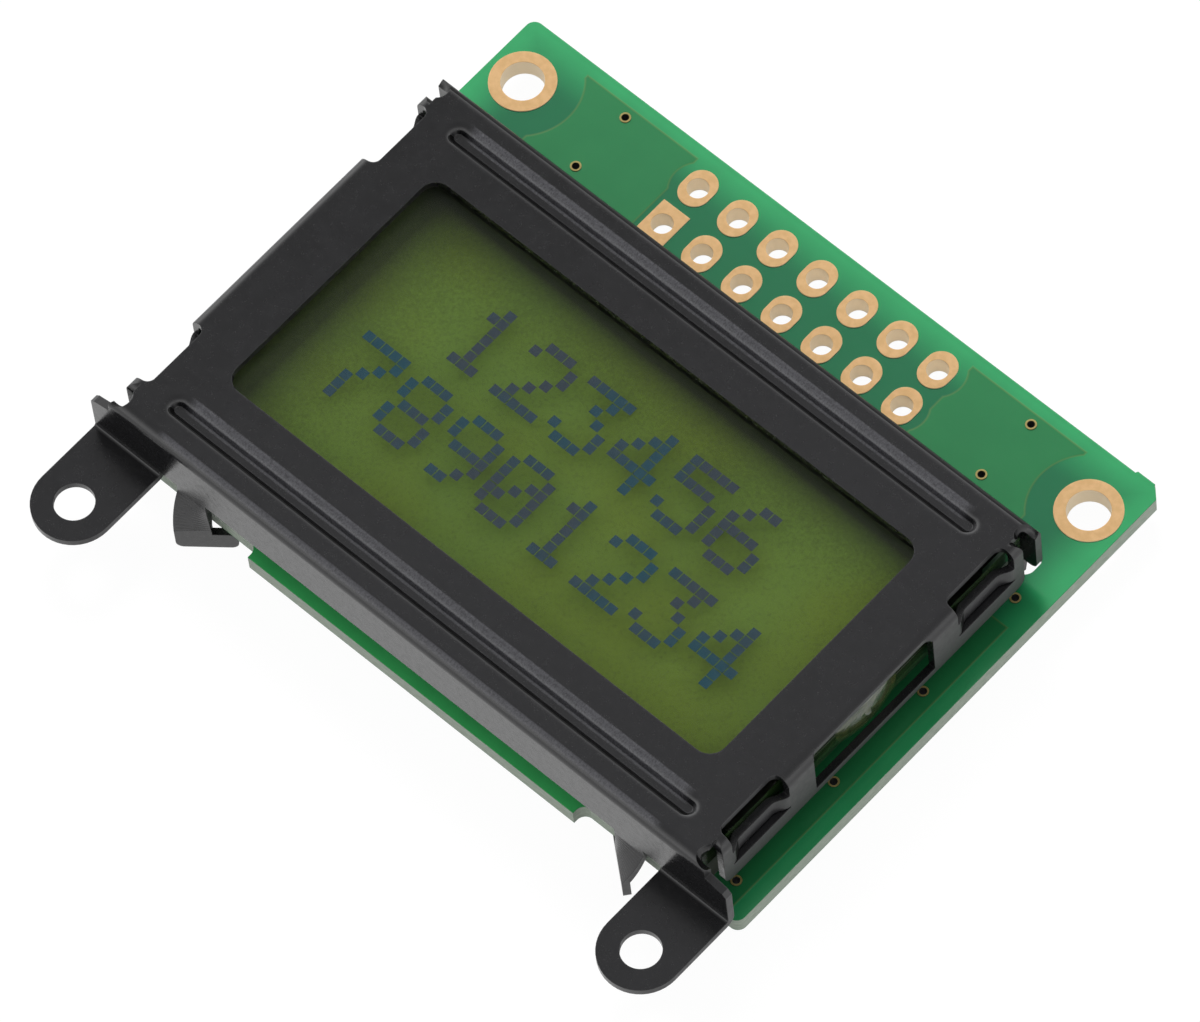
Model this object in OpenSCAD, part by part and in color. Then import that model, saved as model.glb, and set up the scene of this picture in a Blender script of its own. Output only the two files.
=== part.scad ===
// Character LCD module: a two-line reflective cell clamped on a circuit board by a stamped steel bezel.
// +X runs along the text, +Y points to the header edge and +Z out of the display.
// The origin is under the middle of the module, on the plane of the four bezel lug tips.

/* [Circuit board] */
// Width of the board
board_w = 40; // [38:0.1:46]
// Length of the board, without the tongue
board_l = 29.65; // [28.8:0.05:30.1]
// Thickness of the board
board_t = 1; // [0.6:0.1:1.6]
// Radius of the board's routed corners
board_corner_r = 0.5; // [0.2:0.1:0.8]
// Distance from the board's side to the tongue on the near edge
tongue_inset = 9.65; // [9:0.05:14]
// How far the tongue stands out of the near edge
tongue_l = 0.7; // [0.4:0.1:1.2]
// Fillet at the root of the tongue
tongue_root_r = 0.5; // [0.3:0.1:0.8]
// Height of the break-off nub left on the far edge
nub_h = 0.12; // [0.05:0.01:0.25]
// Width of the break-off nub
nub_w = 1.3; // [0.8:0.1:2]
// Size of the broken corner beside the nub
corner_cut = 0.45; // [0.3:0.05:0.6]
// Thickness of the copper with its plating
copper_t = 0.05; // [0.03:0.01:0.08]
// Radial clearance between a plated barrel and its drilled hole
barrel_gap = 0.01; // [0.005:0.005:0.02]

/* [Header holes] */
// Distance between neighbouring holes
header_pitch = 2.54; // [2:0.01:2.6]
// Distance from the far edge to the first row
header_edge = 1.9; // [1.6:0.05:2.1]
// Finished hole diameter
header_hole_d = 1.1; // [0.9:0.05:1.2]
// Pad width along the row
header_pad_w = 1.66; // [1.5:0.02:1.8]
// Pad length across the row
header_pad_l = 2.13; // [1.8:0.02:2.3]

/* [Mounting holes] */
// Distance from the board's side to the holes
mount_side = 2; // [1.9:0.05:2.2]
// Distance from the far edge to the board holes
mount_edge = 2.95; // [2.7:0.05:3.1]
// Distance from the bezel's near wall to the tab holes
tab_reach = 3.67; // [3.4:0.01:5]
// Finished diameter of the board holes
ring_hole_d = 2.15; // [1.8:0.05:2.3]
// Outside diameter of the plated rings
ring_d = 3.34; // [3:0.02:3.6]
// Diameter of the tab holes
tab_hole_d = 2; // [1.6:0.05:2.3]
// Width of a tab
tab_w = 4.2; // [3.8:0.1:4.4]

/* [Bezel] */
// Distance from the board's side to the bezel
bezel_side = 1.15; // [1:0.05:1.4]
// Distance from the board's far edge to the bezel
bezel_edge = 7.08; // [7:0.02:7.12]
// How far the bezel stands out past the board's near edge
bezel_overhang = 0.63; // [0.6:0.01:0.7]
// Height of the bezel's face above the board
bezel_h = 5.1; // [5:0.1:6]
// Sheet thickness
sheet_t = 0.4; // [0.3:0.05:0.45]
// Outside radius of the bends
bend_r = 0.6; // [0.5:0.05:0.7]
// Gap between the walls and the board
wall_gap = 1.65; // [1.4:0.05:1.8]
// Radius of the walls' free corners
wall_corner_r = 0.5; // [0.2:0.05:0.6]
// Gap between a side flange's end and the outside of a long wall
flange_setback = 1.25; // [1.1:0.05:1.5]
// Radius of the relief at the corners of the face
relief_r = 0.65; // [0.5:0.05:0.7]
// Distance from the bezel's side to the window
window_side = 3.45; // [3.2:0.05:5]
// Distance from the bezel's long edges to the window
window_edge = 4.35; // [3.9:0.05:6]
// Corner radius of the window
window_r = 0.9; // [0.5:0.1:1.5]

/* [Bezel grooves] */
// Distance from the bezel's side to the end of a stiffening groove
groove_side = 2.05; // [1.7:0.05:5]
// Width of a groove at the face
groove_w = 1.45; // [1.4:0.05:1.6]
// Depth of a groove
groove_depth = 0.45; // [0.35:0.05:0.5]
// Steepness of a groove's sides
groove_angle = 65; // [60:1:70]
// Radius beside a groove's floor
groove_root_r = 0.1; // [0.05:0.05:0.15]
// Inside radius of the bend at a groove's edge
groove_bend_r = 0.05; // [0.05:0.01:0.1]
// Distance from the bezel's long edge to the middle of a groove
groove_edge = 1.95; // [1.8:0.05:2.1]

/* [Bezel side clips] */
// Distance from the bezel's long edge to the middle of a clip
clip_edge = 3.83; // [3.6:0.01:4.4]
// Length of the slot over a clip
clip_l = 3.9; // [3.2:0.1:4.4]
// Length of the pressed-in stretch
clip_flat = 2.1; // [1.6:0.1:2.5]
// How far a clip is pressed in
clip_press = 0.35; // [0.3:0.05:0.5]
// Height of a clip's upper edge above the board
clip_top = 3.8; // [3.6:0.05:4]
// Height of a clip's strip
clip_h = 1; // [0.7:0.05:1.1]
// Width of the slit under a clip
clip_slit = 0.1; // [0.05:0.05:0.3]
// How far the slot over a clip reaches into the face
clip_bite = 0.3; // [0.1:0.05:0.4]
// Radius of that slot's inner corners
clip_slot_r = 0.45; // [0.2:0.05:0.6]

/* [Bezel side slot] */
// Length of the slot beside the filling hole
side_slot_l = 8.2; // [6:0.1:9]
// How far the slot stays off the flat of the face
side_slot_inset = 0.35; // [0.2:0.05:0.45]
// Height of the strip left under the slot
side_strip_h = 0.4; // [0.3:0.05:0.6]
// Radius of the slot's inner corners
side_slot_r = 0.4; // [0.2:0.05:0.6]

/* [Bezel tabs] */
// Height of a tab's top face above the board
tab_h = 1.35; // [1.2:0.05:1.6]
// Inside radius of a tab's bend
tab_bend_r = 0.15; // [0.1:0.05:0.3]
// Height of the near wall's free ends above the board
fin_h = 4.3; // [4:0.05:4.4]
// How much a free end's top edge falls towards its corner
fin_fall = 0.45; // [0.2:0.05:0.6]

/* [Bezel lugs] */
// How far the lugs reach below the board
lug_drop = 1.2; // [1.15:0.05:1.5]
// Width of a lug's neck
lug_neck = 1.8; // [1.4:0.05:1.85]
// How far a lug's head hooks past its neck
lug_hook = 1.2; // [0.8:0.1:1.4]
// Radius of a lug head's corners
lug_corner_r = 0.4; // [0.1:0.05:0.5]
// Distance from the bezel's side to the inner edge of a near lug
near_lug_side = 5.85; // [5.4:0.05:7]
// Distance from the bezel's side to the inner edge of a far lug
far_lug_side = 3.35; // [3:0.05:3.8]
// Twist angle of a near lug
near_lug_angle = 39; // [30:1:42]
// Twist angle of a far lug
far_lug_angle = 34; // [26:1:36]
// Height above the board where a lug begins to turn
lug_turn_top = 1.2; // [0.8:0.05:1.35]
// Length of the twisted stretch
lug_turn_len = 1.9; // [1.5:0.1:2.2]
// Clearance of the far lugs in their board slots
lug_clear = 0.15; // [0.08:0.01:0.2]
// Distance from the board's side to a lug slot
lug_slot_side = 1.85; // [1.7:0.05:2]
// Corner radius of the lug slots in the board
lug_slot_r = 0.57; // [0.3:0.01:0.6]

/* [Display cell] */
// Thickness of each glass
glass_t = 1.1; // [0.7:0.05:1.1]
// Gap between the front glass and the bezel's long walls
glass_gap = 0.25; // [0.15:0.05:0.4]
// Clearance between the glass and the side clips
clip_clear = 0.02; // [0.01:0.01:0.05]
// Depth of the contact ledges on the front glass
ledge = 2.15; // [1.9:0.05:2.3]
// Gap between the glasses
cell_gap = 0.05; // [0.03:0.01:0.08]
// Width of the seal between the glasses
seal_w = 1.1; // [0.8:0.1:1.4]
// Width of the filling hole in the seal
fill_port_w = 2.4; // [1.6:0.1:3]
// Distance from the middle of the cell to the filling hole
fill_port_y = 0.2; // [0:0.1:1]
// Thickness of a polariser
polariser_t = 0.2; // [0.15:0.01:0.22]
// Thickness of the reflector foil
reflector_t = 0.1; // [0.05:0.01:0.15]
// Distance from the glass's edge to a polariser's side edge
polariser_inset = 0.8; // [0.5:0.1:1.2]
// Length of the plug on the filling hole
plug_l = 4.2; // [3.2:0.1:5]
// Thickness of the plug
plug_t = 0.35; // [0.2:0.05:0.35]

/* [Contact strips] */
// Width of a contact strip
strip_w = 1.8; // [1.5:0.05:1.85]
// Distance from the glass's edge to a strip's end
strip_inset = 0.6; // [0.4:0.1:1.2]
// Number of contact fingers under a strip
fingers = 28; // [20:1:32]
// Length of a contact finger
finger_l = 1.5; // [1.2:0.05:1.7]

/* [Vias] */
// Finished hole diameter
via_d = 0.38; // [0.3:0.02:0.5]
// Outside diameter of a via's ring
via_pad_d = 0.56; // [0.5:0.02:0.8]

/* [Chips on the back] */
// How far the blob sits off the middle of the bezel, towards the header
blob_shift = 1; // [0:0.1:1.5]
// Distance from the board's side to the columns of chips
chip_side = 7.8; // [5:0.1:8]
// Distance between neighbouring capacitors
capacitor_pitch = 3.2; // [2.6:0.1:4]
// Diameter of the moulded blob over the controller
blob_d = 14; // [10:0.5:15]
// Height of the blob
blob_h = 1; // [0.8:0.05:1.1]
// Side of the controller die
die_w = 3.4; // [2.6:0.1:4]
// Thickness of the controller die
die_t = 0.4; // [0.3:0.02:0.45]
// Clearance round the die in the blob
die_clear = 0.03; // [0.01:0.01:0.05]
// Length of a chip resistor or capacitor
chip_l = 2; // [1.6:0.1:2.2]
// Width of a chip
chip_w = 1.25; // [0.8:0.05:1.3]
// Thickness of a resistor
resistor_t = 0.5; // [0.4:0.05:0.6]
// Thickness of a capacitor
capacitor_t = 0.75; // [0.5:0.05:0.8]
// Length of a chip's end caps
cap_l = 0.4; // [0.25:0.05:0.5]
// Thickness of a chip's end caps
cap_t = 0.04; // [0.02:0.01:0.06]
// Length of the solder fillet at a chip's end
fillet_l = 0.4; // [0.25:0.05:0.5]
// Distance between neighbouring resistors
resistor_pitch = 2.6; // [2.2:0.1:3]

/* [Hidden] */
$fn = 48;

// The interface has two rows of seven holes
header_cols = 7;
header_pins = 2 * header_cols;

// Heights
board_z = lug_drop;
face_z = board_z + board_t;
bezel_z = face_z + bezel_h;
wall_z = face_z + wall_gap;
tab_z = face_z + tab_h;

// Places along Y
bezel_l = board_l - bezel_edge + bezel_overhang;
tab_r = tab_w / 2;
overall_l = nub_h + board_l + bezel_overhang + tab_reach + tab_r;
far_y = overall_l / 2 - nub_h;
near_y = far_y - board_l;
header_y = far_y - header_edge;
ring_y = far_y - mount_edge;
tab_y = near_y - bezel_overhang - tab_reach;
bezel_y = far_y - bezel_edge - bezel_l / 2;
far_wall_y = bezel_y + bezel_l / 2;
near_wall_y = bezel_y - bezel_l / 2;

// Places along X
mount_x = board_w / 2 - mount_side;
tongue_half_w = board_w / 2 - tongue_inset;
bezel_w = board_w - 2 * bezel_side;
near_lug_x = bezel_w / 2 - near_lug_side;
far_lug_x = bezel_w / 2 - far_lug_side;

// Bezel
window_w = bezel_w - 2 * window_side;
window_l = bezel_l - 2 * window_edge;
groove_len = bezel_w - 2 * groove_side;
groove_offset = bezel_l / 2 - groove_edge;
clip_offset = bezel_l / 2 - clip_edge;
face_half_w = bezel_w / 2 - bend_r;
face_half_l = bezel_l / 2 - bend_r;
flange_l = bezel_l - 2 * flange_setback;
groove_edge_r = groove_bend_r + sheet_t;
groove_run = (groove_edge_r + groove_root_r) * tan(groove_angle / 2) + groove_depth / tan(groove_angle);
clip_inner = bezel_w / 2 - sheet_t - clip_press;

// Display cell
glass_w = 2 * (clip_inner - clip_clear);
glass_l = bezel_l - 2 * sheet_t - 2 * glass_gap;
rear_glass_l = glass_l - 2 * ledge;
glass_top = bezel_z - sheet_t - groove_depth;
front_glass_z = glass_top - glass_t;
rear_glass_z = front_glass_z - cell_gap - glass_t;
polariser_w = glass_w - 2 * polariser_inset;
polariser_l = 2 * (groove_offset - groove_w / 2 - glass_gap);

// Contact strips
strip_l = glass_w - 2 * strip_inset;
strip_off = glass_l / 2 - ledge / 2;
finger_pitch = strip_l / fingers;

// Far lug slots in the board
slot_inner_y = far_wall_y - sheet_t - lug_clear / 2;
slot_outer_y = far_wall_y - sheet_t / 2 + lug_neck * sin(far_lug_angle)
    + sheet_t / 2 * cos(far_lug_angle) + lug_clear / 2;
slot_inner_x = far_lug_x - lug_hook - lug_clear;
slot_outer_x = board_w / 2 - lug_slot_side;

// Vias beside the header, and down the board's margins at these shares of their run
header_via_side = 7.1;
header_via_edge = [1.25, 4.76];
margin_via_side = 1.55;
margin_via_edge = 1.62;
margin_via_start = bezel_edge + 1.56;
margin_via_run = board_l - margin_via_edge - margin_via_start;
margin_via_at = [0, 0.333, 0.653, 1];
vias_xy = [
    for (side = [-1, 1], edge = header_via_edge)
        [side * (board_w / 2 - header_via_side), far_y - edge],
    for (side = [-1, 1], at = margin_via_at)
        [side * (board_w / 2 - margin_via_side), far_y - margin_via_start - at * margin_via_run]
];

// Chips on the back, as [x, y], in two columns beside the blob
blob_xy = [0, bezel_y + blob_shift];
column_x = board_w / 2 - chip_side;
ladder_xy = [for (i = [-2 : 2]) [column_x, blob_xy[1] + i * resistor_pitch]];
oscillator_xy = [-column_x, blob_xy[1] + 2 * capacitor_pitch];
resistors_xy = concat(ladder_xy, [oscillator_xy]);
capacitors_xy = [for (i = [0, -1]) [-column_x, blob_xy[1] + i * capacitor_pitch]];

// The names of a repeated node's pieces, numbered from 1.
function numbered(name, count) = [for (i = [1 : count]) str(name, "_", i)];

// ---- Shared shapes ----

// A rectangle with round corners, about its middle.
module rounded_rect(w, l, r) {
    square([w - 2 * r, l], center = true);
    square([w, l - 2 * r], center = true);
    for (x = [-1, 1], y = [-1, 1])
        translate([x * (w / 2 - r), y * (l / 2 - r)])
            circle(r);
}

// A slot with round ends, longer along Y.
module oval(w, l) {
    square([w, l - w], center = true);
    for (y = [-1, 1])
        translate([0, y * (l - w) / 2])
            circle(d = w);
}

// The same shape on the left and on the right.
module both_sides() {
    children();
    mirror([1, 0, 0])
        children();
}

// A slab between two heights.
module slab(z0, z1) {
    translate([0, 0, z0])
        linear_extrude(z1 - z0)
            children();
}

// ---- Circuit board ----

module board_outline() {
    difference() {
        union() {
            translate([0, (far_y + near_y) / 2])
                rounded_rect(board_w, board_l, board_corner_r);
            translate([0, near_y])
                square([2 * tongue_half_w, 2 * tongue_l], center = true);
            for (side = [-1, 1])
                translate([side * tongue_half_w, near_y])
                    square(2 * tongue_root_r, center = true);
            translate([board_w / 2 - corner_cut - nub_w, far_y - nub_h])
                polygon([[0, 0], [nub_w, 0], [nub_w - nub_h, 2 * nub_h], [nub_h, 2 * nub_h]]);
        }
        both_sides()
            translate([tongue_half_w + tongue_root_r, near_y - tongue_root_r])
                circle(tongue_root_r);
        translate([board_w / 2, far_y])
            rotate(45)
                square(corner_cut * sqrt(2), center = true);
    }
}

module lug_slot() {
    w = slot_outer_x - slot_inner_x;
    l = slot_outer_y - slot_inner_y;
    translate([slot_inner_x + w / 2, slot_inner_y + l / 2])
        rounded_rect(w, l, lug_slot_r);
}

module circuit_board() {
    color([0.18, 0.52, 0.3])
        slab(board_z, face_z)
            difference() {
                board_outline();
                both_sides()
                    lug_slot();
                for (i = [1 : header_pins])
                    translate(header_xy(i))
                        circle(d = drill(header_hole_d));
                both_sides()
                    translate([mount_x, ring_y])
                        circle(d = drill(ring_hole_d));
                for (p = vias_xy)
                    translate(p)
                        circle(d = drill(via_d));
            }
}

// ---- Plated holes ----

// The drilled diameter for a finished one.
function drill(d) = d + 2 * copper_t + 2 * barrel_gap;

// A plated hole: a barrel with a pad of the given outline on each face.
module plated_hole(d) {
    for (z = [board_z - copper_t, face_z])
        slab(z, z + copper_t)
            difference() {
                children();
                circle(d = d);
            }
    slab(board_z - copper_t, face_z + copper_t)
        difference() {
            circle(d = d + 2 * copper_t);
            circle(d = d);
        }
}

// Where header hole i is. They count in columns from the left, with odd numbers in the near row.
function header_xy(i) = [
    (floor((i - 1) / 2) - (header_cols - 1) / 2) * header_pitch,
    header_y - (i % 2) * header_pitch
];

// The pad of hole 1 is square-cornered.
module header_pad(i) {
    color([0.85, 0.67, 0.46])
        translate(header_xy(i))
            plated_hole(header_hole_d)
                if (i == 1)
                    square([header_pad_w, header_pad_l], center = true);
                else
                    oval(header_pad_w, header_pad_l);
}

module mount_ring(side) {
    color([0.85, 0.67, 0.46])
        translate([side * mount_x, ring_y])
            plated_hole(ring_hole_d)
                circle(d = ring_d);
}

module vias() {
    color([0.62, 0.48, 0.3])
        for (p = vias_xy)
            translate(p)
                plated_hole(via_d)
                    circle(d = via_pad_d);
}

// ---- Bezel ----

// Section of a bend and the wall under it: u points outwards from the edge of the flat face.
module wall_section() {
    translate([0, bezel_z - bend_r])
        difference() {
            intersection() {
                circle(bend_r);
                square(bend_r);
            }
            circle(bend_r - sheet_t);
        }
    translate([bend_r - sheet_t, wall_z])
        square([sheet_t, bezel_z - bend_r - wall_z]);
}

// A wall along X on the far side, with its four free corners rounded.
module long_wall() {
    intersection() {
        translate([0, face_half_l])
            rotate([90, 0, 90])
                linear_extrude(bezel_w, center = true)
                    wall_section();
        translate([0, face_half_l + bend_r, (bezel_z + wall_z) / 2])
            rotate([90, 0, 0])
                linear_extrude(4 * bend_r, center = true)
                    rounded_rect(bezel_w, bezel_z - wall_z, wall_corner_r);
    }
}

// A side wall on the right, with its four free corners rounded.
module side_wall() {
    intersection() {
        translate([face_half_w, 0])
            rotate([90, 0, 0])
                linear_extrude(flange_l, center = true)
                    wall_section();
        translate([face_half_w + bend_r, 0, (bezel_z + wall_z) / 2])
            rotate([90, 0, 90])
                linear_extrude(4 * bend_r, center = true)
                    rounded_rect(flange_l, bezel_z - wall_z, wall_corner_r);
    }
}

// Half the section of a groove below the face, up to a level: an edge arc, a straight side, a root arc
// and a flat floor. The root arc grows, and the edge arc shrinks, by the same amount.
module groove_section(grow, level) {
    root = [groove_w / 2 - groove_run, groove_root_r - groove_depth];
    root_r = groove_root_r + grow;
    edge = [groove_w / 2, -groove_edge_r];
    edge_r = groove_edge_r - grow;
    lean = [sin(groove_angle), -cos(groove_angle)];
    low = root - [0, root_r];
    difference() {
        polygon([[0, low[1]], low, root + root_r * lean, edge - edge_r * lean, edge,
                 [edge[0], level], [0, level]]);
        translate(edge)
            circle(edge_r);
    }
    intersection() {
        translate(root)
            circle(root_r);
        polygon([root, root - [0, 2 * root_r], root + 2 * root_r * lean]);
    }
}

// A groove's form, straight in the middle and turned at the ends.
module groove_form(grow, level) {
    run = groove_len / 2 - groove_w / 2;
    translate([0, 0, bezel_z]) {
        for (side = [0, 1])
            mirror([0, side, 0])
                rotate([90, 0, 90])
                    linear_extrude(2 * run, center = true)
                        groove_section(grow, level);
        for (x = [-run, run])
            translate([x, 0])
                rotate_extrude()
                    groove_section(grow, level);
    }
}

// Where the clips are, on the right.
module clip_places() {
    for (y = [-1, 1])
        translate([0, y * clip_offset])
            children();
}

// A slot that is open to the right, from x0 outwards, with round inner corners.
module open_slot(x0, l, r) {
    depth = bezel_w / 2 + bend_r + r - x0;
    translate([x0 + depth / 2, 0])
        rounded_rect(depth, l, r);
}

// The opening round a clip: the slot through the bend, and the strip's place with the slit.
module clip_opening() {
    slab(face_z + clip_top, bezel_z + bend_r)
        open_slot(face_half_w - clip_bite, clip_l, clip_slot_r);
    slab(face_z + clip_top - clip_h - clip_slit, bezel_z - bend_r)
        translate([bezel_w / 2 - 2 * sheet_t, -clip_l / 2])
            square([2 * sheet_t + bend_r, clip_l]);
}

// A clip: a strip of the wall pressed in against the glass, with a smooth run at both ends.
module clip() {
    out = bezel_w / 2;
    steps = 8;
    run = (clip_l - clip_flat) / 2;
    rise = [for (i = [0 : steps])
        [out - clip_press * (1 - cos(180 * i / steps)) / 2, run * i / steps - clip_l / 2]];
    fall = [for (i = [steps : -1 : 0]) [rise[i][0], -rise[i][1]]];
    outside = concat(rise, fall);
    inside = [for (i = [len(outside) - 1 : -1 : 0]) outside[i] - [sheet_t, 0]];
    slab(face_z + clip_top - clip_h, face_z + clip_top)
        polygon(concat(outside, inside));
}

// The slot in the right wall that leaves the filling hole's plug in view: it starts in the bend.
module side_slot() {
    low = wall_z + side_strip_h;
    slab(low, bezel_z + bend_r)
        open_slot(face_half_w + side_slot_inset, side_slot_l, side_slot_r);
    slab(low, bezel_z - sheet_t)
        translate([bezel_w / 2 - 2 * sheet_t, -side_slot_l / 2])
            square([2 * sheet_t + bend_r, side_slot_l]);
}

// A mounting tab with its bend and the free end of the near wall over it, on the right.
module tab() {
    x0 = mount_x - tab_r;
    x1 = mount_x + tab_r;
    bend_z = tab_z + tab_bend_r;
    fin_x = bezel_w / 2 - bend_r;
    top = face_z + fin_h;
    translate([0, near_wall_y + sheet_t])
        rotate([90, 0, 0])
            linear_extrude(sheet_t)
                polygon([[x0, bend_z], [x1, bend_z], [x1, top - fin_fall - fin_fall / 2],
                         [x1 - fin_fall / 2, top - fin_fall], [fin_x, top], [x0, top]]);
    translate([x0, near_wall_y - tab_bend_r, bend_z])
        rotate([90, 0, 90])
            linear_extrude(tab_w)
                intersection() {
                    difference() {
                        circle(tab_bend_r + sheet_t);
                        circle(tab_bend_r);
                    }
                    translate([0, -tab_bend_r - sheet_t])
                        square(tab_bend_r + sheet_t);
                }
    slab(tab_z - sheet_t, tab_z)
        difference() {
            union() {
                translate([x0, tab_y])
                    square([tab_w, near_wall_y - tab_bend_r - tab_y]);
                translate([mount_x, tab_y])
                    circle(tab_r);
            }
            translate([mount_x, tab_y])
                circle(d = tab_hole_d);
        }
}

// The near wall is left off under the tabs' bends, on the right.
module tab_wall_gap() {
    slab(wall_z - bend_r, tab_z + tab_bend_r)
        translate([mount_x - tab_r, -bezel_l / 2 - bend_r])
            square([tab_w, 2 * bend_r + sheet_t]);
}

// The flat end of a lug, from its tip up to a height: a neck and a head that hooks past it.
module lug_end(height) {
    translate([(lug_neck - lug_hook) / 2, board_z / 2])
        rounded_rect(lug_neck + lug_hook, board_z, lug_corner_r);
    translate([0, board_z / 2])
        square([lug_neck, height - board_z / 2]);
}

// A lug on the right: the neck hangs from the wall, turns about its inner edge and ends in a hooked head.
module lug(turn) {
    turn_z = face_z + lug_turn_top;
    straight_z = turn_z - lug_turn_len;
    slab(turn_z, wall_z + sheet_t)
        translate([0, -sheet_t / 2])
            square([lug_neck, sheet_t]);
    translate([0, 0, straight_z])
        rotate(turn)
            linear_extrude(lug_turn_len, twist = turn, slices = 12, segments = 4)
                translate([0, -sheet_t / 2])
                    square([lug_neck, sheet_t]);
    rotate([90, 0, turn])
        linear_extrude(sheet_t, center = true)
            lug_end(straight_z);
}

module bezel() {
    color([0.19, 0.19, 0.2]) {
        translate([0, bezel_y]) {
            difference() {
                union() {
                    slab(bezel_z - sheet_t, bezel_z)
                        square([2 * face_half_w, 2 * face_half_l], center = true);
                    long_wall();
                    mirror([0, 1, 0])
                        long_wall();
                    both_sides()
                        side_wall();
                    for (y = [-groove_offset, groove_offset])
                        translate([0, y])
                            groove_form(sheet_t, -sheet_t / 4);
                }
                slab(bezel_z - 2 * sheet_t, bezel_z + sheet_t)
                    rounded_rect(window_w, window_l, window_r);
                for (y = [-groove_offset, groove_offset])
                    translate([0, y])
                        groove_form(0, sheet_t / 4);
                both_sides()
                    clip_places()
                        clip_opening();
                both_sides()
                    for (y = [-1, 1])
                        translate([bezel_w / 2 - sheet_t / 2, y * (bezel_l / 2 - relief_r), bezel_z])
                            sphere(relief_r);
                both_sides()
                    tab_wall_gap();
                side_slot();
            }
            both_sides()
                clip_places()
                    clip();
        }
        both_sides() {
            tab();
            translate([near_lug_x, near_wall_y + sheet_t / 2])
                lug(-near_lug_angle);
            translate([far_lug_x, far_wall_y - sheet_t / 2])
                lug(far_lug_angle);
        }
    }
}

// ---- Display cell ----

// A sheet of the cell between two heights, centred under the window.
module cell_sheet(w, l, z0, t) {
    translate([0, bezel_y])
        slab(z0, z0 + t)
            square([w, l], center = true);
}

module front_polariser() {
    color([0.3, 0.36, 0.16])
        cell_sheet(polariser_w, polariser_l, glass_top, polariser_t);
}

module front_glass() {
    color([0.7, 0.8, 0.72])
        cell_sheet(glass_w, glass_l, front_glass_z, glass_t);
}

// The gap in the seal where the cell was filled, on the right.
module fill_port() {
    translate([glass_w / 2 - seal_w / 2, fill_port_y])
        square([2 * seal_w, fill_port_w], center = true);
}

module cell_seal() {
    color([0.75, 0.73, 0.66])
        translate([0, bezel_y])
            slab(front_glass_z - cell_gap, front_glass_z)
                difference() {
                    square([glass_w, rear_glass_l], center = true);
                    square([glass_w - 2 * seal_w, rear_glass_l - 2 * seal_w], center = true);
                    fill_port();
                }
}

module liquid_crystal() {
    color([0.45, 0.5, 0.22])
        cell_sheet(glass_w - 2 * seal_w, rear_glass_l - 2 * seal_w, front_glass_z - cell_gap, cell_gap);
}

module rear_glass() {
    color([0.7, 0.8, 0.72])
        cell_sheet(glass_w, rear_glass_l, rear_glass_z, glass_t);
}

module rear_polariser() {
    color([0.4, 0.45, 0.2])
        cell_sheet(polariser_w, rear_glass_l - polariser_inset, rear_glass_z - polariser_t, polariser_t);
}

module reflector() {
    color([0.6, 0.62, 0.5])
        cell_sheet(polariser_w, rear_glass_l - polariser_inset,
                   rear_glass_z - polariser_t - reflector_t, reflector_t);
}

// A bead of hard resin on the cell's right edge, no taller than the two glasses.
module fill_port_plug() {
    ball_r = (pow(plug_l / 2, 2) + plug_t * plug_t) / (2 * plug_t);
    color([0.82, 0.84, 0.8])
        translate([glass_w / 2, bezel_y + fill_port_y])
            intersection() {
                translate([0, 0, front_glass_z])
                    rotate([0, 90, 0])
                        rotate_extrude()
                            intersection() {
                                translate([0, plug_t - ball_r])
                                    circle(ball_r, $fn = 240);
                                square([plug_l, 2 * plug_t]);
                            }
                slab(rear_glass_z, glass_top)
                    translate([-plug_t, -plug_l])
                        square([3 * plug_t, 2 * plug_l]);
            }
}

// ---- Contact strips ----

// An elastomer strip between the fingers on the board and a ledge of the front glass.
module contact_strip(side) {
    color([0.8, 0.8, 0.78])
        translate([0, bezel_y + side * strip_off])
            slab(face_z + copper_t, front_glass_z)
                square([strip_l, strip_w], center = true);
}

module contact_fingers(side) {
    color([0.8, 0.66, 0.42])
        translate([0, bezel_y + side * strip_off])
            slab(face_z, face_z + copper_t)
                for (i = [0 : fingers - 1])
                    translate([(i - (fingers - 1) / 2) * finger_pitch, 0])
                        square([finger_pitch / 2, finger_l], center = true);
}

// ---- Chips on the back ----

module controller_die() {
    color([0.3, 0.3, 0.34])
        translate(blob_xy)
            slab(board_z - die_t, board_z)
                square(die_w, center = true);
}

// A low dome of black resin, hollowed for the die.
module controller_blob() {
    r = blob_d / 2;
    ball_r = (pow(1.1 * r, 2) + blob_h * blob_h) / (2 * blob_h);
    color([0.08, 0.08, 0.08])
        translate([blob_xy[0], blob_xy[1], board_z])
            difference() {
                mirror([0, 0, 1])
                    rotate_extrude()
                        intersection() {
                            translate([0, blob_h - ball_r])
                                circle(ball_r, $fn = 240);
                            union() {
                                square([r - blob_h, blob_h]);
                                translate([r - blob_h, 0])
                                    circle(blob_h);
                            }
                            square([r, blob_h]);
                        }
                slab(-die_t - die_clear, die_clear)
                    square(die_w + 2 * die_clear, center = true);
            }
}

// Puts a chip, drawn hanging below the origin along X, on the board's back.
module chip_place(p) {
    translate([p[0], p[1], board_z])
        children();
}

module chip_body(t) {
    slab(-t + cap_t, -cap_t)
        square([chip_l - 2 * cap_t, chip_w - 2 * cap_t], center = true);
}

// The metal ends of a chip, each a cup over the body's end.
module chip_caps(t) {
    difference() {
        slab(-t, 0)
            square([chip_l, chip_w], center = true);
        slab(-t + cap_t, -cap_t)
            square([chip_l - 2 * cap_t, chip_w - 2 * cap_t], center = true);
        slab(-2 * t, t)
            square([chip_l - 2 * cap_l, 2 * chip_w], center = true);
    }
}

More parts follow.
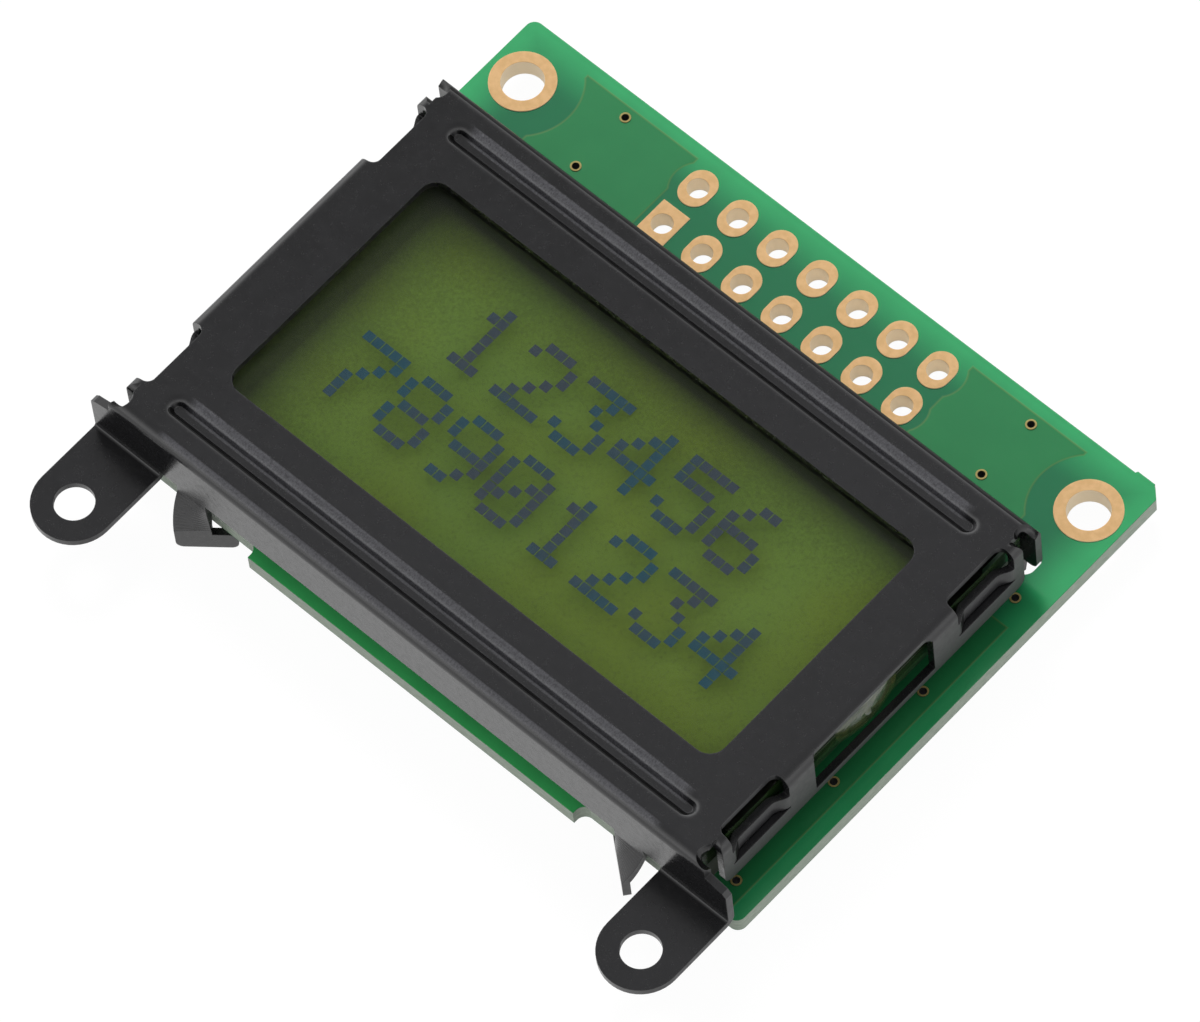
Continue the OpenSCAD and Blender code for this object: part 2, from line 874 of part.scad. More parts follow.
module chip_fillets(t) {
    both_sides()
        translate([chip_l / 2, chip_w / 2])
            rotate([90, 0, 0])
                linear_extrude(chip_w)
                    polygon([[0, 0], [fillet_l, 0], [0, -0.6 * t]]);
}

module resistor_body(i) {
    color([0.12, 0.12, 0.13])
        chip_place(resistors_xy[i - 1])
            chip_body(resistor_t);
}

module resistor_caps(i) {
    color([0.75, 0.75, 0.76])
        chip_place(resistors_xy[i - 1])
            chip_caps(resistor_t);
}

module capacitor_body(i) {
    color([0.6, 0.47, 0.32])
        chip_place(capacitors_xy[i - 1])
            chip_body(capacitor_t);
}

module capacitor_caps(i) {
    color([0.75, 0.75, 0.76])
        chip_place(capacitors_xy[i - 1])
            chip_caps(capacitor_t);
}

module solder_fillets() {
    color([0.7, 0.71, 0.72]) {
        for (p = resistors_xy)
            chip_place(p)
                chip_fillets(resistor_t);
        for (p = capacitors_xy)
            chip_place(p)
                chip_fillets(capacitor_t);
    }
}

bezel();
circuit_board();
mount_ring(-1);  // mount_ring_left
mount_ring(1);  // mount_ring_right
vias();
contact_fingers(1);  // contact_fingers_far
contact_fingers(-1);  // contact_fingers_near
contact_strip(1);  // contact_strip_far
contact_strip(-1);  // contact_strip_near
front_polariser();
front_glass();
cell_seal();
liquid_crystal();
rear_glass();
rear_polariser();
reflector();
fill_port_plug();
controller_blob();
controller_die();
solder_fillets();
for (i = [1 : header_pins])
    header_pad(i);
for (i = [1 : len(resistors_xy)])
    resistor_body(i);
for (i = [1 : len(resistors_xy)])
    resistor_caps(i);
for (i = [1 : len(capacitors_xy)])
    capacitor_body(i);
for (i = [1 : len(capacitors_xy)])
    capacitor_caps(i);
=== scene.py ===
"""Looks of the character LCD module: materials, driven dots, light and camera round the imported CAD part."""

import math

import bmesh
import bpy
from mathutils import Matrix, Vector


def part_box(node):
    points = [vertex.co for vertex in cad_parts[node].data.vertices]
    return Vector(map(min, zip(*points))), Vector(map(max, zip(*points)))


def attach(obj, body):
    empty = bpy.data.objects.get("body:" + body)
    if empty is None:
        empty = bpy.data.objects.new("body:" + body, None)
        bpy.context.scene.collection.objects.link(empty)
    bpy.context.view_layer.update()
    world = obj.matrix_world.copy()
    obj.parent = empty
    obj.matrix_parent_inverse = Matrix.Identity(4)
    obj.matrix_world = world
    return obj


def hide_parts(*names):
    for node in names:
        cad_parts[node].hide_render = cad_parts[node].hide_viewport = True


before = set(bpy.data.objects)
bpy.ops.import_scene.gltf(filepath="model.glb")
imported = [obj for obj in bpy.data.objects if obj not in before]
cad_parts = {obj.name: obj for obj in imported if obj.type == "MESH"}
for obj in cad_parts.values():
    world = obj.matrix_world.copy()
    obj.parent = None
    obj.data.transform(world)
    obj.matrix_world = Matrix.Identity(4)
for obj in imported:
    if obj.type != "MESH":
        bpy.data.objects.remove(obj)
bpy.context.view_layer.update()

MM = 0.001


# ---- Places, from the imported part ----

BOARD_LOW, BOARD_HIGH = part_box("circuit_board")
GLASS_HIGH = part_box("front_glass")[1]
FILM_LOW, FILM_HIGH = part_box("front_polariser")
SEAL_LOW, SEAL_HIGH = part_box("cell_seal")
DISPLAY_Y = (FILM_LOW.y + FILM_HIGH.y) / 2

# In millimetres, as the materials read places.
WINDOW_HALF_X, WINDOW_HALF_Y = 15.1, 7.4
WINDOW_FAR_Y = DISPLAY_Y / MM + WINDOW_HALF_Y
# The film ends just inside the two grooves, so its length places them.
FILM_TO_GROOVE = 0.975
GROOVE_OFFSET = (FILM_HIGH.y - FILM_LOW.y) / 2 / MM + FILM_TO_GROOVE


def middle(node):
    """The middle of a CAD node's box."""
    low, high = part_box(node)
    return (low + high) / 2


# ---- Node building ----


def srgb(r, g, b):
    """A colour given as it looks on screen, 0 to 255, as linear light."""

    def linear(v):
        v /= 255
        return v / 12.92 if v <= 0.04045 else ((v + 0.055) / 1.055) ** 2.4

    return (linear(r), linear(g), linear(b), 1.0)


class Nodes:
    """A short way to write a node tree: each call adds a node and returns its first output."""

    def __init__(self, tree):
        self.tree = tree

    def add(self, kind, *values, out=0, **settings):
        node = self.tree.nodes.new(kind)
        for name, value in settings.items():
            setattr(node, name, value)
        for i, value in enumerate(values):
            if value is not None:
                self.put(node.inputs[i], value)
        return node.outputs[out]

    def put(self, socket, value):
        if isinstance(value, bpy.types.NodeSocket):
            self.tree.links.new(value, socket)
        else:
            socket.default_value = value

    def math(self, operation, *values, clamp=False):
        return self.add("ShaderNodeMath", *values, operation=operation, use_clamp=clamp)

    def mix(self, factor, a, b):
        """Mixes two colours."""
        node = self.tree.nodes.new("ShaderNodeMix")
        node.data_type = "RGBA"
        for socket, value in zip((node.inputs[0], node.inputs[6], node.inputs[7]), (factor, a, b)):
            self.put(socket, value)
        return node.outputs[2]

    def span(self, value, low, high, to_low=0.0, to_high=1.0):
        """Maps low..high smoothly to to_low..to_high."""
        ends = (low, high, to_low, to_high)
        return self.add("ShaderNodeMapRange", value, *ends, interpolation_type="SMOOTHSTEP")

    def place(self):
        """The place on the part, in millimetres, as x, y and z."""
        coords = self.add("ShaderNodeTexCoord", out=3)
        scaled = self.add("ShaderNodeVectorMath", coords, (1000, 1000, 1000), operation="MULTIPLY")
        split = self.add("ShaderNodeSeparateXYZ", scaled).node
        return scaled, split.outputs[0], split.outputs[1], split.outputs[2]

    def normal(self):
        split = self.add("ShaderNodeSeparateXYZ", self.add("ShaderNodeNewGeometry", out=1)).node
        return split.outputs[0], split.outputs[1], split.outputs[2]

    def noise(self, place, scale, detail=2.0, roughness=0.5):
        return self.add("ShaderNodeTexNoise", place, None, scale, detail, roughness)

    def bump(self, height, distance_mm, strength=1.0, normal=None):
        node = self.tree.nodes.new("ShaderNodeBump")
        node.inputs["Strength"].default_value = strength
        node.inputs["Distance"].default_value = distance_mm * MM
        self.tree.links.new(height, node.inputs["Height"])
        if normal:
            self.tree.links.new(normal, node.inputs["Normal"])
        return node.outputs[0]

    def soft_edges(self, radius):
        """The surface normal, turned smoothly over the sharp edges; the radius is in metres."""
        return self.add("ShaderNodeBevel", radius, samples=6)

    def from_box(self, x, y, middle_xy, half_xy):
        """Signed distance from a rectangle, negative inside."""
        dx = self.math("SUBTRACT", self.math("ABSOLUTE", self.math("SUBTRACT", x, middle_xy[0])), half_xy[0])
        dy = self.math("SUBTRACT", self.math("ABSOLUTE", self.math("SUBTRACT", y, middle_xy[1])), half_xy[1])
        return self.math("MAXIMUM", dx, dy)

    def band(self, value, low, high, soft):
        """1 between low and high, falling smoothly to 0 over soft on both sides."""
        return self.math("MULTIPLY", self.span(value, low - soft, low), self.span(value, high + soft, high))

    def risen(self, distance, length, amount):
        """1 less amount at no distance, rising to 1 over length."""
        dying = self.math("EXPONENT", self.math("MULTIPLY", self.math("MAXIMUM", distance, 0.0), -1 / length))
        return self.math("SUBTRACT", 1.0, self.math("MULTIPLY", dying, amount))

    def from_point(self, x, y, point):
        """Distance from a point of the plane."""
        dx = self.math("SUBTRACT", x, point[0])
        dy = self.math("SUBTRACT", y, point[1])
        return self.math("SQRT", self.math("MULTIPLY_ADD", dx, dx, self.math("MULTIPLY", dy, dy)))


def material(name, finish):
    """A new material; finish(n, shader) sets up its Principled BSDF."""
    made = bpy.data.materials.new(name)
    made.use_nodes = True
    finish(Nodes(made.node_tree), made.node_tree.nodes["Principled BSDF"])
    return made


def paint_nodes(made, *nodes):
    """Gives CAD nodes a material."""
    for name in nodes:
        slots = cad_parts[name].data.materials
        for i in range(len(slots)):
            slots[i] = made
        if not slots:
            slots.append(made)


def numbered(name, count):
    return [f"{name}_{i}" for i in range(1, count + 1)]


# ---- Materials ----


def black_paint(n, shader):
    """Semi-gloss black paint with a fine orange peel, thin on the cut edges, with painted highlight bands and
    painted shade.
    """
    place, x, y, z = n.place()
    nx, ny, _ = n.normal()
    peel = n.noise(place, 5.5, 2.0)
    grain = n.noise(place, 22.0, 1.0)
    height = n.math("MULTIPLY_ADD", grain, 0.25, peel)

    # Painted light: the top is painted a little greyer towards the near right corner.
    light_lean = n.math("MULTIPLY_ADD", x, 0.6, n.math("MULTIPLY", y, -0.5))
    colour = n.mix(n.span(light_lean, -12, 4), srgb(14, 14, 16), srgb(26, 26, 28))

    # Painted highlights: flecked bands beside each groove and along the near bend, where the sheet's slopes
    # mirror the bright horizon.
    from_middle = n.math("SUBTRACT", y, DISPLAY_Y / MM)
    s = n.math("SUBTRACT", from_middle, n.math("MULTIPLY", n.math("SIGN", from_middle), GROOVE_OFFSET))
    on_top = n.math("MULTIPLY", n.span(z, 6.7, 6.9), n.span(n.math("ABSOLUTE", x), 16.0, 15.2))
    stretched = n.add("ShaderNodeVectorMath", place, (14.0, 6.0, 14.0), operation="MULTIPLY")
    strokes = n.noise(stretched, 1.0, 3.0, 0.8)
    highlight_speckle = n.span(strokes, 0.3, 0.7, 0.3, 1.35)
    groove_highlight = n.math("MULTIPLY", n.band(s, 0.18, 0.76, 0.1), on_top)
    near_side = n.math("LESS_THAN", from_middle, 0.0)
    bend_highlight = n.math("MULTIPLY", n.math("MULTIPLY", n.band(s, -1.7, -1.5, 0.1), on_top), near_side)
    slope = n.math("LESS_THAN", ny, -0.3)
    # The painted highlight is a little brighter on the slopes that face the near side.
    painted_highlight = n.mix(slope, srgb(73, 73, 77), srgb(80, 80, 84))
    colour = n.mix(n.math("MULTIPLY", n.math("MAXIMUM", groove_highlight, bend_highlight), highlight_speckle), colour, painted_highlight)

    # Painted shade: the slopes that face away from the light are painted near black, stay sharp and mirror
    # little, and the side walls are duller.
    shade = n.math("MULTIPLY", n.band(s, -0.52, -0.28, 0.08), on_top)
    shade = n.math("MAXIMUM", shade, n.math("GREATER_THAN", ny, 0.4))
    colour = n.mix(shade, colour, srgb(10, 10, 10))
    edges = n.soft_edges(n.math("MULTIPLY", n.math("SUBTRACT", 1.0, shade), 0.06 * MM))
    n.put(shader.inputs["Normal"], n.bump(height, 0.01, 0.35, edges))
    dull = n.span(n.math("ABSOLUTE", nx), 0.5, 0.9)
    gloss = n.span(n.noise(place, 3.0), 0.3, 0.7, 0.2, 0.28)
    n.put(shader.inputs["Roughness"], n.math("MULTIPLY_ADD", dull, 0.22, gloss))
    n.put(shader.inputs["Specular IOR Level"], n.math("MULTIPLY_ADD", shade, -0.45, 0.5))

    tone = n.noise(place, 1.3, 3.0)
    n.put(shader.inputs["Base Color"], n.mix(n.span(tone, 0.3, 0.7, 0.0, 0.15), colour, srgb(40, 40, 42)))
    shader.inputs["IOR"].default_value = 1.52


def solder_mask(n, shader):
    """Glossy green mask on laminate: copper under it darkens it, and painted light makes the laminate
    brighter near the edge, where light glows through.
    """
    place, x, y, z = n.place()
    low, high = BOARD_LOW / MM, BOARD_HIGH / MM
    ring = middle("mount_ring_right") / MM
    pad = middle("header_pad_14") / MM
    via_x, row_pitch = 12.9, 2.54
    hidden_strip = 0.7
    ring_clear, pad_clear, last_pad_clear = 3.0, 1.45, 1.35
    across = n.math("ABSOLUTE", x)

    # How far in from the outer edge, without the strip that the bezel hides.
    edge_middle = (0, (low.y + hidden_strip + high.y) / 2)
    edge = n.from_box(x, y, edge_middle, (high.x, (high.y - low.y - hidden_strip) / 2))
    # Painted light: the laminate is painted brighter within about 3 mm of the outer edge.
    glow = n.span(edge, -2.8, 0.0)

    # Copper areas beside the header, cut back round the rings and the pads, and down the margins.
    area = n.from_box(across, y, (via_x - 0.6, high.y - 5.8), (3.55, 5.0))
    area = n.math("MAXIMUM", area, n.math("SUBTRACT", ring_clear, n.from_point(across, y, ring)))
    area = n.math("MAXIMUM", area, n.math("SUBTRACT", pad_clear, n.from_point(across, y, pad)))
    last_pad = n.from_point(x, y, (pad.x, pad.y - row_pitch))
    area = n.math("MAXIMUM", area, n.math("SUBTRACT", last_pad_clear, last_pad))
    margin = n.from_box(across, y, (17.4, low.y + 10.6), (1.8, 9.7))
    copper = n.math("MINIMUM", area, margin)

    # Painted light: the middle of the near strip is painted brighter still.
    near_light = n.math("MULTIPLY", n.span(y, -8, -11), n.span(across, 17.0, 15.5))
    lit = n.mix(near_light, srgb(49, 154, 95), srgb(76, 204, 114))
    laminate = n.mix(glow, srgb(28, 104, 68), lit)
    colour = n.mix(n.span(copper, 0.02, -0.02), laminate, srgb(38, 117, 69))
    rim = n.span(n.math("ABSOLUTE", copper), 0.07, 0.02)
    colour = n.mix(n.math("MULTIPLY", rim, 0.4), colour, srgb(100, 122, 66))
    mottle = n.span(n.noise(place, 0.5, 3.0), 0.3, 0.7, 0.0, 0.12)
    colour = n.mix(mottle, colour, srgb(20, 96, 56))

    # The routed side shows the laminate between the two mask layers.
    side = n.math("LESS_THAN", n.math("ABSOLUTE", n.normal()[2]), 0.5)
    weave = n.noise(n.add("ShaderNodeVectorMath", place, (1.0, 1.0, 9.0), operation="MULTIPLY"), 2.2, 4.0)
    core = n.mix(n.span(weave, 0.3, 0.7), srgb(158, 174, 156), srgb(188, 198, 184))
    skin = n.math("GREATER_THAN", n.math("ABSOLUTE", n.math("SUBTRACT", z, (low.z + high.z) / 2)), 0.46)
    core = n.mix(skin, core, srgb(52, 120, 76))
    n.put(shader.inputs["Base Color"], n.mix(side, colour, core))
    n.put(shader.inputs["Roughness"], n.math("MULTIPLY_ADD", side, 0.4, 0.16))

    relief = n.span(copper, 0.12, -0.12)
    height = n.math("MULTIPLY_ADD", n.noise(place, 1.6, 2.0), 0.12, relief)
    n.put(shader.inputs["Normal"], n.bump(height, 0.03, 0.5, n.soft_edges(0.05 * MM)))
    shader.inputs["IOR"].default_value = 1.5
    shader.inputs["Specular IOR Level"].default_value = 0.45


def gold(n, shader):
    """Matt immersion gold; the barrel's wall is painted paler than the pad, as painted light from below
    through the hole.
    """
    place = n.place()[0]
    upright = n.math("LESS_THAN", n.math("ABSOLUTE", n.normal()[2]), 0.5)
    tone = n.span(n.noise(place, 3.0, 3.0), 0.3, 0.7)
    pad = n.mix(tone, srgb(222, 180, 126), srgb(233, 191, 138))
    # Painted light: the upright barrel wall is painted pale.
    n.put(shader.inputs["Base Color"], n.mix(upright, pad, srgb(250, 234, 206)))
    n.put(shader.inputs["Roughness"], n.math("MULTIPLY_ADD", upright, 0.1, 0.42))
    n.put(shader.inputs["Normal"], n.bump(n.noise(place, 14.0, 3.0), 0.008, 0.4, n.soft_edges(0.05 * MM)))
    n.put(shader.inputs["Metallic"], n.math("MULTIPLY_ADD", upright, -0.35, 0.55))


def via_gold(n, shader):
    """A gold ring round a bore too narrow for light to reach its wall, so the wall is painted dark as shade.
    """
    place = n.place()[0]
    upright = n.math("LESS_THAN", n.math("ABSOLUTE", n.normal()[2]), 0.5)
    tone = n.span(n.noise(place, 6.0, 2.0), 0.3, 0.7)
    ring = n.mix(tone, srgb(150, 138, 84), srgb(172, 156, 96))
    # Painted shade: the bore's upright wall is painted near black.
    n.put(shader.inputs["Base Color"], n.mix(upright, ring, srgb(12, 16, 12)))
    n.put(shader.inputs["Roughness"], n.math("MULTIPLY_ADD", upright, 0.4, 0.4))
    shader.inputs["Metallic"].default_value = 0.3


def contact_gold(n, shader):
    place = n.place()[0]
    tone = n.span(n.noise(place, 4.0, 2.0), 0.3, 0.7)
    n.put(shader.inputs["Base Color"], n.mix(tone, srgb(200, 160, 104), srgb(214, 176, 122)))
    n.put(shader.inputs["Roughness"], n.span(tone, 0.0, 1.0, 0.3, 0.42))
    shader.inputs["Metallic"].default_value = 0.8


def clear_sheet(tint, gloss_face, mirror=1.0):
    """A see-through sheet that mirrors only on one kind of face: 'top' or 'side'."""

    def finish(n, shader):
        place = n.place()[0]
        up = n.normal()[2]
        if gloss_face == "top":
            face = n.math("GREATER_THAN", up, 0.5)
        else:
            face = n.math("LESS_THAN", n.math("ABSOLUTE", up), 0.5)
        ripple = n.bump(n.noise(place, 0.35, 1.0), 0.01, 0.25)
        fresnel = n.add("ShaderNodeFresnel", 1.49, ripple)
        glossy = n.add("ShaderNodeBsdfAnisotropic", (1, 1, 1, 1), 0.06)
        n.put(glossy.node.inputs["Normal"], ripple)
        through = n.add("ShaderNodeBsdfTransparent", n.mix(face, (1, 1, 1, 1), tint))
        amount = n.math("MULTIPLY", n.math("MULTIPLY", fresnel, face), mirror)
        surface = n.add("ShaderNodeMixShader", amount, through, glossy)
        n.put(n.tree.nodes["Material Output"].inputs["Surface"], surface)
        n.tree.nodes.remove(shader)

    return finish


def glass_edge(n, shader):
    """Clear where it is looked through, and a greenish body on its cut edges, painted dark as shade."""
    place = n.place()[0]
    side = n.math("LESS_THAN", n.math("ABSOLUTE", n.normal()[2]), 0.5)
    stretched = n.add("ShaderNodeVectorMath", place, (1, 0.4, 4), operation="MULTIPLY")
    tone = n.span(n.noise(stretched, 1.2, 3.0), 0.3, 0.7)
    # The cut edges are the glass's green, darkened as painted shade.
    n.put(shader.inputs["Base Color"], n.mix(tone, srgb(22, 36, 18), srgb(48, 72, 36)))
    n.put(shader.inputs["Alpha"], n.math("MULTIPLY", side, 0.9))
    shader.inputs["Roughness"].default_value = 0.2


def fill_plug(n, shader):
    """Clear cured glue: the glass shows through it, and its rim is painted pale as a highlight."""
    place, _, _, z = n.place()
    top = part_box("fill_port_plug")[1].z / MM
    # Painted highlight: a pale band round the top of the plug's side.
    rim = n.span(z, top - 0.3, top - 0.05)
    rim = n.math("MULTIPLY", rim, n.math("LESS_THAN", n.normal()[2], 0.5))
    tone = n.span(n.noise(place, 2.0, 3.0), 0.3, 0.7)
    body = n.mix(tone, srgb(40, 62, 32), srgb(74, 84, 48))
    n.put(shader.inputs["Base Color"], n.mix(rim, body, srgb(186, 194, 180)))
    n.put(shader.inputs["Normal"], n.bump(tone, 0.02, 0.5))
    shader.inputs["Roughness"].default_value = 0.15


def display_ground(n, shader):
    """The olive ground that the reflector and polarisers make together."""
    place, x, y, _ = n.place()
    grain = n.noise(place, 6.5, 3.0, 0.75)
    cloud = n.span(n.noise(place, 0.12, 2.0), 0.3, 0.7)
    colour = n.mix(cloud, srgb(144, 178, 90), srgb(148, 174, 80))

    # Painted shade: the window's left and far edges keep the light off the ground that they stand over, so it
    # is painted darker and greyer near them, with grain.
    left = n.math("ADD", x, WINDOW_HALF_X)
    far = n.math("SUBTRACT", WINDOW_FAR_Y, y)
    lit = n.math("MULTIPLY", n.risen(left, 1.7, 0.8), n.risen(far, 1.1, 0.92))
    sparkle = n.math("MULTIPLY_ADD", grain, 1.2, 0.4)
    n.put(shader.inputs["Base Color"], n.mix(n.math("MULTIPLY", lit, sparkle), srgb(80, 84, 74), colour))
    shader.inputs["Roughness"].default_value = 0.8
    shader.inputs["Specular IOR Level"].default_value = 0.0


def driven_dot(n, shader):
    """A driven dot: a slate film that lets a little of the ground through."""
    place = n.place()[0]
    tone = n.span(n.noise(place, 0.16, 1.0), 0.35, 0.65)
    n.put(shader.inputs["Base Color"], n.mix(tone, srgb(58, 66, 76), srgb(42, 72, 86)))
    shader.inputs["Alpha"].default_value = 0.9
    shader.inputs["Roughness"].default_value = 0.9
    shader.inputs["Specular IOR Level"].default_value = 0.0


def plain(colour, other, scale, roughness, bump_mm=0.0, metallic=0.0, stretch=(1, 1, 1)):
    """A two-tone material with a noise at its own scale, per millimetre."""

    def finish(n, shader):
        place = n.add("ShaderNodeVectorMath", n.place()[0], stretch, operation="MULTIPLY")
        pattern = n.noise(place, scale, 3.0)
        n.put(shader.inputs["Base Color"], n.mix(n.span(pattern, 0.3, 0.7), colour, other))
        n.put(shader.inputs["Roughness"], n.span(pattern, 0.3, 0.7, roughness * 0.9, roughness * 1.1))
        shader.inputs["Metallic"].default_value = metallic
        if bump_mm:
            n.put(shader.inputs["Normal"], n.bump(pattern, bump_mm))

    return finish


def give_materials():
    finishes = {
        ("bezel",): black_paint,
        ("circuit_board",): solder_mask,
        ("mount_ring_left", "mount_ring_right", *numbered("header_pad", 14)): gold,
        ("vias",): via_gold,
        ("contact_fingers_far", "contact_fingers_near"): contact_gold,
        ("front_polariser",): clear_sheet((0.93, 0.95, 0.9, 1), "top", 0.2),
        ("front_glass", "rear_glass"): glass_edge,
        ("cell_seal",): plain(srgb(20, 24, 16), srgb(32, 36, 22), 1.5, 0.5),
        ("rear_polariser",): plain(srgb(86, 100, 50), srgb(92, 106, 56), 2.0, 0.35),
        ("reflector",): plain(srgb(168, 172, 160), srgb(182, 184, 174), 6.0, 0.3, 0.004, 0.9),
        ("fill_port_plug",): fill_plug,
        # Painted shade: the contact strips are painted dark grey for the shade under the bezel.
        ("contact_strip_far", "contact_strip_near"): plain(
            srgb(44, 46, 42), srgb(58, 60, 54), 1.2, 0.6, 0.01, 0.0, (1, 0.2, 3)
        ),
        ("controller_blob",): plain(srgb(22, 22, 23), srgb(30, 30, 31), 1.0, 0.3, 0.03),
        ("controller_die",): plain(srgb(80, 80, 92), srgb(92, 92, 104), 2.0, 0.25, 0.0, 0.5),
        ("solder_fillets",): plain(srgb(186, 188, 190), srgb(206, 208, 210), 4.0, 0.25, 0.01, 0.9),
        tuple(numbered("resistor_body", 6)): plain(srgb(26, 26, 28), srgb(34, 34, 36), 3.0, 0.35, 0.005),
        tuple(numbered("capacitor_body", 2)): plain(srgb(164, 132, 96), srgb(178, 146, 108), 3.0, 0.5, 0.008),
        (*numbered("resistor_caps", 6), *numbered("capacitor_caps", 2)): plain(
            srgb(198, 199, 201), srgb(214, 215, 217), 5.0, 0.3, 0.006, 0.9
        ),
    }
    for names, finish in finishes.items():
        paint_nodes(material(names[0] + "_finish", finish), *names)


# ---- The driven dots ----

# Each digit as seven rows of five dots, a row being a binary number.
DIGITS = {
    "0": (14, 17, 19, 21, 25, 17, 14),
    "1": (4, 12, 4, 4, 4, 4, 14),
    "2": (14, 17, 1, 2, 4, 8, 31),
    "3": (31, 2, 4, 2, 1, 17, 14),
    "4": (2, 6, 10, 18, 31, 2, 2),
    "5": (31, 16, 30, 1, 1, 17, 14),
    "6": (6, 8, 16, 30, 17, 17, 14),
    "7": (31, 1, 2, 4, 8, 8, 8),
    "8": (14, 17, 17, 14, 17, 17, 14),
    "9": (14, 17, 17, 15, 1, 2, 12),
}
LINES = (" 123456 ", "78901234")
DOT = 0.5 * MM
DOT_PITCH = 0.556 * MM
CELL_COLS, CELL_ROWS = 5, 8
CHARACTER_PITCH = 3.24 * MM
LINE_PITCH = 5.06 * MM
# Glass bends the view, so what lies under it looks nearer.
# The sheets are set at the depths that they seem to have.
DOTS_DEPTH, GROUND_DEPTH = 0.6 * MM, 0.87 * MM
DOTS_Z = GLASS_HIGH.z - DOTS_DEPTH
GROUND_Z = DOTS_Z - GROUND_DEPTH


def flat_piece(name, rectangles, z, made, thickness=0.01 * MM):
    """One mesh of thin slabs, each given as its middle and its two sizes."""
    mesh = bmesh.new()
    for x, y, w, l in rectangles:
        place = Matrix.Translation((x, y, z)) @ Matrix.Diagonal((w, l, thickness, 1))
        bmesh.ops.create_cube(mesh, size=1, matrix=place)
    data = bpy.data.meshes.new(name)
    mesh.to_mesh(data)
    mesh.free()
    data.materials.append(made)
    piece = bpy.data.objects.new(name, data)
    bpy.context.scene.collection.objects.link(piece)
    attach(piece, "root")
    return piece


def dot_places():
    for row, text in enumerate(LINES):
        line_y = DISPLAY_Y + (0.5 - row) * LINE_PITCH
        for column, letter in enumerate(text):
            cell_x = (column - (len(text) - 1) / 2) * CHARACTER_PITCH
            for j, bits in enumerate(DIGITS.get(letter, ())):
                for i in range(CELL_COLS):
                    if bits >> (CELL_COLS - 1 - i) & 1:
                        x = cell_x + (i - (CELL_COLS - 1) / 2) * DOT_PITCH
                        y = line_y - (j - (CELL_ROWS - 1) / 2) * DOT_PITCH
                        yield x, y, DOT, DOT


def make_display():
    dots = flat_piece("driven_dots", dot_places(), DOTS_Z, material("driven_dot_finish", driven_dot))
    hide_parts("liquid_crystal")
    size = SEAL_HIGH - SEAL_LOW
    sheet = (0, DISPLAY_Y, size.x - 1.6 * MM, size.y - 0.8 * MM)
    made = material("display_ground_finish", display_ground)
    ground = flat_piece("display_ground", [sheet], GROUND_Z, made)


# ---- Floor, light and camera ----


def make_floor():
    mesh = bpy.data.meshes.new("floor")
    half = 3.0
    corners = [(-half, -half, 0), (half, -half, 0), (half, half, 0), (-half, half, 0)]
    mesh.from_pydata(corners, [], [(0, 1, 2, 3)])
    made = bpy.data.materials.new("floor_white")
    made.use_nodes = True
    n = Nodes(made.node_tree)
    shader = made.node_tree.nodes["Principled BSDF"]
    shader.inputs["Base Color"].default_value = (0.55, 0.55, 0.55, 1)
    shader.inputs["Roughness"].default_value = 1.0
    shader.inputs["Specular IOR Level"].default_value = 0.0
    seen = seen_rays(n)
    glow = n.add("ShaderNodeEmission", (1, 1, 1, 1), 1.05)
    surface = n.add("ShaderNodeMixShader", n.math("MULTIPLY", seen, 0.92), shader.outputs[0], glow)
    n.put(made.node_tree.nodes["Material Output"].inputs["Surface"], surface)
    mesh.materials.append(made)
    floor = bpy.data.objects.new("floor", mesh)
    bpy.context.scene.collection.objects.link(floor)


def seen_rays(n):
    """1 for rays that see the background: straight, mirrored or through glass."""
    rays = n.add("ShaderNodeLightPath").node.outputs
    either = n.math("MAXIMUM", rays["Is Camera Ray"], rays["Is Glossy Ray"])
    return n.math("MAXIMUM", either, rays["Is Transmission Ray"])


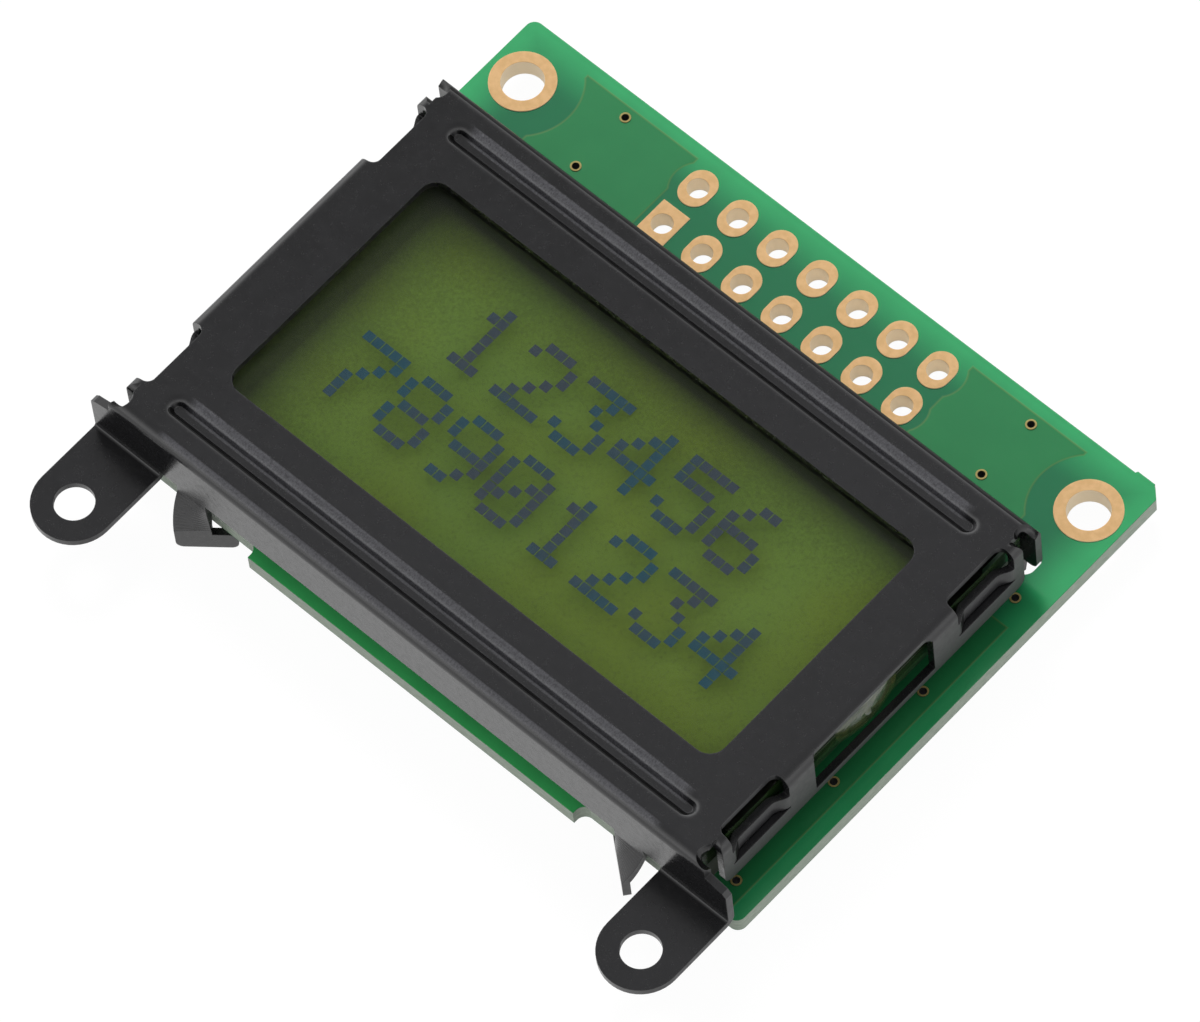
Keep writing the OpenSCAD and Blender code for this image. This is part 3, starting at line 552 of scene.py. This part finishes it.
def make_world():
    """White where it is seen. What the part mirrors is brightest at the sides and greyer overhead."""
    world = bpy.data.worlds.new("studio")
    world.use_nodes = True
    bpy.context.scene.world = world
    n = Nodes(world.node_tree)
    rays = n.add("ShaderNodeLightPath").node.outputs
    up = n.add("ShaderNodeSeparateXYZ", n.add("ShaderNodeTexCoord")).node.outputs[2]
    mirrored = n.span(up, 0.25, 0.85, 1.9, 0.5)
    cast = n.span(up, 0.0, 0.8, 0.26, 0.66)
    mirrors = rays["Is Glossy Ray"]
    strength = n.math("MULTIPLY_ADD", mirrors, n.math("SUBTRACT", mirrored, cast), cast)
    plain_view = n.math("MAXIMUM", rays["Is Camera Ray"], rays["Is Transmission Ray"])
    background = world.node_tree.nodes["Background"]
    n.put(background.inputs["Color"], (1, 1, 1, 1))
    n.put(background.inputs["Strength"], n.math("MAXIMUM", strength, n.math("MULTIPLY", plain_view, 1.1)))


def area_light(name, place, aim, size, power):
    lamp = bpy.data.lights.new(name, "AREA")
    lamp.shape = "RECTANGLE"
    lamp.size, lamp.size_y = size
    lamp.energy = power
    holder = bpy.data.objects.new(name, lamp)
    holder.location = place
    holder.rotation_euler = (Vector(aim) - Vector(place)).to_track_quat("-Z", "Y").to_euler()
    holder.visible_glossy = False
    bpy.context.scene.collection.objects.link(holder)


def make_camera():
    """The photograph's view: a long lens from the near right, turned a little about its axis."""
    azimuth, elevation, roll = math.radians(49.074), math.radians(61.172), math.radians(7.584)
    distance = 562.935 * MM
    aim = Vector((1.122, -0.301, 3.5)) * MM
    level = math.cos(elevation)
    back = Vector((math.sin(azimuth) * level, -math.cos(azimuth) * level, math.sin(elevation)))
    lens = bpy.data.cameras.new("camera")
    lens.sensor_width = 36.0
    lens.lens = 361.52
    lens.clip_start, lens.clip_end = 0.01, 20.0
    camera = bpy.data.objects.new("camera", lens)
    camera.location = aim + back * distance
    turn = (-back).to_track_quat("-Z", "Y").to_matrix().to_4x4() @ Matrix.Rotation(-roll, 4, "Z")
    camera.rotation_euler = turn.to_euler()
    bpy.context.scene.collection.objects.link(camera)
    bpy.context.scene.camera = camera


make_camera()
give_materials()
make_display()
make_floor()
make_world()
area_light("key", (-0.35, 0.3, 0.6), (0, 0, 0), (0.28, 0.28), 4.6)
bpy.context.scene.view_settings.view_transform = "Standard"
